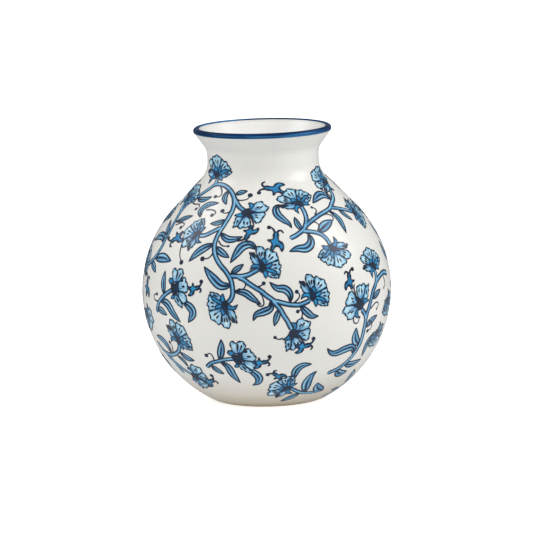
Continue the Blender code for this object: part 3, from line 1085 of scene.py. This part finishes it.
def lip_paint():
    """Deep blue with slow streaks along the rim, thin and pale along its lower edge."""
    surface = Surface("lip_blue", GLOSS[0], 0.06)
    blue = surface.ramp(surface.noise(1.0, 2.0, (22.0, 22.0, 520.0)), [
        (0.35, srgb(3, 32, 66)), (0.52, srgb(8, 52, 96)), (0.7, srgb(52, 112, 162))])
    edge = surface.height(*[(HEIGHT - below) * MM for below in BAND_FADE])
    surface.colour(surface.mix(edge, srgb(96, 144, 184), blue))
    gloss(surface)
    return surface.material


def raw_clay(name, low, high, grain):
    """Unglazed earthenware: mottled, gritty and matt."""
    surface = Surface(name, 0.85, 0.3)
    body = surface.ramp(surface.noise(90.0, 5.0), [(0.3, srgb(*low)), (0.7, srgb(*high))])
    grit = surface.ramp(surface.noise(grain, 1.0), [(0.3, srgb(150, 128, 104)), (0.38, UNTINTED)])
    surface.colour(surface.mix(0.7, body, grit, "MULTIPLY"))
    surface.roughness(surface.rescale(surface.noise(300.0), 0.3, 0.7, 0.75, 0.95))
    surface.bump(surface.noise(grain, 4.0), 0.35, 0.0004)
    return surface.material


def pale_floor():
    surface = Surface("studio_floor", 0.9, 0.0)
    surface.colour(surface.ramp(surface.noise(3.0), [
        (0.4, srgb(243, 243, 243)), (0.6, srgb(246, 246, 246))]))
    surface.shader.inputs["Emission Color"].default_value = (1.0, 1.0, 1.0, 1.0)
    surface.shader.inputs["Emission Strength"].default_value = FLOOR_GLOW
    return surface.material


WHITE = white_glaze()
LINING = lining_glaze()
BISCUIT = raw_clay("biscuit_clay", (205, 184, 158), (222, 204, 180), 800.0)
# The bare foot is darker than the biscuit: the clay's own colour with painted contact shade along the
# bottom edge
FOOT_CLAY = raw_clay("bare_foot_clay", (150, 130, 104), (176, 155, 126), 900.0)
PAINTS = [
    petal_paint(),
    flat_paint("wash_blue", (150, 200, 224), (108, 170, 206)),
    flat_paint("leaf_blue", (68, 142, 190), (38, 104, 154)),
    flat_paint("bright_blue", (34, 146, 200), (18, 106, 160)),
    flat_paint("line_navy", (3, 40, 72), (2, 20, 38)),
]


# --- turned pieces

def turned(name, outline_points, material, slot, *replaced):
    """Turn a closed (radius, height) outline in millimetres about +Z."""
    verts = []
    rings = []
    for r, z in outline_points:
        count = 1 if r == 0 else SEGMENTS
        rings.append(range(len(verts), len(verts) + count))
        for k in range(count):
            a = math.tau * k / SEGMENTS
            verts.append((r * math.cos(a) * MM, r * math.sin(a) * MM, z * MM))
    faces = []
    for here, there in zip(rings, rings[1:] + rings[:1]):
        if len(here) == 1 and len(there) == 1:
            continue
        for k in range(SEGMENTS):
            low = [here[k % len(here)], here[(k + 1) % len(here)]]
            high = [there[(k + 1) % len(there)], there[k % len(there)]]
            faces.append(list(dict.fromkeys(low + high)))
    piece = riding(name, smooth_mesh(name, verts, faces, [material]))
    if replaced:
        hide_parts(*replaced)


def hidden(stations):
    """The few stations that a hidden back needs, ends kept."""
    return stations[:-1:BACK_STEP] + stations[-1:]


def coat_outline():
    """The coat: its face from the foot up, then its back down."""
    return [s.at(0.0) for s in STATIONS] + [s.at(-GLAZE) for s in reversed(hidden(STATIONS))]


def lip_arc(radius, low, high, steps):
    """Points about the middle of the lip, between two angles."""
    centre_r, centre_z = STATIONS[-1].at(-LIP_RADIUS)
    angles = [low + (high - low) * i / steps for i in range(steps + 1)]
    return [(centre_r + radius * math.cos(a), centre_z + radius * math.sin(a)) for a in angles]


def lip_outline():
    """The round lip, with thin glaze skirts over the top of the coat and of the lining."""
    top, end = STATIONS[-1], STATIONS[-1 - LIP_SKIRT]
    face = lip_arc(LIP_RADIUS + LIP_SKIRT_LIFT, -FLARE_ANGLE, math.pi - FLARE_ANGLE, LIP_STEPS)
    back = [end.at(-WALL + GLAZE / 2), top.at(-WALL + GLAZE / 2), top.at(-GLAZE / 2), end.at(-GLAZE / 2)]
    return [end.at(LIP_SKIRT_LIFT)] + face + [end.at(-WALL - LIP_SKIRT_LIFT)] + back


def lip_band_outline():
    """The painted band over the round of the lip."""
    low, high = (math.radians(angle) for angle in BAND_ARC)
    face = lip_arc(LIP_RADIUS + LIP_SKIRT_LIFT + BAND_LIFT, low, high, BAND_STEPS)
    return face + lip_arc(LIP_RADIUS - BAND_DEPTH, high, low, BAND_STEPS)


def lining_outline():
    """The lining: the wall's room side from the lip down, the floor, and its back up."""
    wall = [s for s in STATIONS if s.z > SLAB_JOINT]
    room = [s.at(-WALL) for s in reversed(wall)]
    back = [s.at(GLAZE - WALL) for s in hidden(wall)]
    corner = back[0][0] - GAP
    floor = [(corner - GLAZE, FLOOR_TOP), (0.0, FLOOR_TOP)]
    under = [(0.0, FLOOR_TOP - GLAZE), (corner, FLOOR_TOP - GLAZE)]
    return room + floor + under + back


def foot_outline():
    """The trimmed foot: the underside and its two rounded corners."""
    outer = belly_station(belly_angle(FOOT_HEIGHT)).at(-CLAY_DEPTH)
    toe = belly_station(belly_angle(0.0)).at(-CLAY_DEPTH)
    turn = FOOT_BEVEL_TURN * FOOT_BEVEL
    return [(FOOT_INNER_RADIUS, FOOT_HEIGHT), (FOOT_INNER_RADIUS, FOOT_BEVEL),
            (FOOT_INNER_RADIUS + turn, turn), (FOOT_INNER_RADIUS + FOOT_BEVEL, 0.0),
            (toe[0] - FOOT_BEVEL, 0.0), (toe[0], turn), (toe[0] + FOOT_BEVEL / 2, FOOT_BEVEL), outer]


turned("glaze_coat", coat_outline(), WHITE, "white_glaze", "outer_glaze")
turned("lining_coat", lining_outline(), LINING, "lining_glaze", "inner_glaze")
turned("round_lip", lip_outline(), WHITE, "white_glaze", "rim_lip")
turned("lip_band", lip_band_outline(), lip_paint(), "cobalt_glaze")
turned("trimmed_foot", foot_outline(), FOOT_CLAY, "bare_clay", "foot_ring")

for node_name in ("neck_collar", "upper_bowl", "lower_bowl", "base_slab"):
    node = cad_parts[node_name]
    for material_slot in node.material_slots:
        material_slot.material = BISCUIT

paint_side("front", 0.0)
paint_side("back", 180.0)


# --- studio

CAMERA_DISTANCE = 2.7
CAMERA_ELEVATION = math.radians(8.98)
CAMERA_ROLL = math.radians(-1.62)
CAMERA_AIM = Vector((0.0003, 0.0, 0.0979))
LENS = 245.9
FLOOR_HALF = 9.0
SKY = [(0.15, 0.85), (0.34, 1.45), (0.44, 0.55), (0.85, 0.96)]    # greys of the dome, from below up
BEHIND = 0.28                  # brightness of the dome behind the vase, as a part of its front


def make_floor():
    mesh = bpy.data.meshes.new("studio_floor")
    corners = [(FLOOR_HALF * x, FLOOR_HALF * y, 0) for x, y in ((-1, -1), (1, -1), (1, 1), (-1, 1))]
    mesh.from_pydata(corners, [], [(0, 1, 2, 3)])
    mesh.materials.append(pale_floor())
    floor = placed("studio_floor", mesh)
    floor.visible_diffuse = False
    floor.visible_glossy = False
    floor.visible_shadow = False


def make_camera():
    camera = placed("camera", bpy.data.cameras.new("camera"))
    camera.data.lens = LENS
    camera.data.clip_end = 50.0
    back = Vector((0.0, -math.cos(CAMERA_ELEVATION), math.sin(CAMERA_ELEVATION)))
    tilt = Matrix.Rotation(math.pi / 2 - CAMERA_ELEVATION, 4, "X") @ Matrix.Rotation(CAMERA_ROLL, 4, "Z")
    camera.matrix_world = Matrix.Translation(CAMERA_AIM + CAMERA_DISTANCE * back) @ tilt
    bpy.context.scene.camera = camera


def soft_box(name, direction, distance, width, height, radiance):
    """A rectangular light of this radiance, facing the vase."""
    light = bpy.data.lights.new(name, "AREA")
    light.shape = "RECTANGLE"
    light.size = width
    light.size_y = height
    light.energy = radiance * math.pi * width * height
    lamp = placed(name, light)
    towards = Vector(direction).normalized()
    centre = Vector((0.0, 0.0, HEIGHT * MM / 2))
    turn = towards.to_track_quat("Z", "Y").to_matrix().to_4x4()
    lamp.matrix_world = Matrix.Translation(centre + towards * distance) @ turn


def make_sky():
    """A pale dome: bright overhead, dim at the horizon, with the floor's glow below."""
    world = bpy.data.worlds.new("studio")
    sky = Nodes(world)
    background = sky.tree.nodes["Background"]
    towards = sky.node("ShaderNodeTexCoord").outputs["Generated"]
    stops = [(position, (grey, grey, grey, 1.0)) for position, grey in SKY]
    grey = sky.ramp(sky.rescale(sky.axis(towards, "Z"), -1.0, 1.0), stops)
    sky.feed(background.inputs["Color"], grey)
    dimming = sky.rescale(sky.axis(towards, "Y"), 0.0, 1.0, 1.0, BEHIND)
    sky.feed(background.inputs["Strength"], dimming)
    bpy.context.scene.world = world


make_floor()
make_camera()
make_sky()
soft_box("soft_box_right", (0.79, -0.12, 0.57), 1.4, 0.8, 0.8, 3.4)
soft_box("soft_box_left", (-0.72, 0.13, 0.68), 1.4, 0.7, 0.7, 2.7)
bpy.context.scene.view_settings.view_transform = "Standard"

bpy.context.view_layer.update()
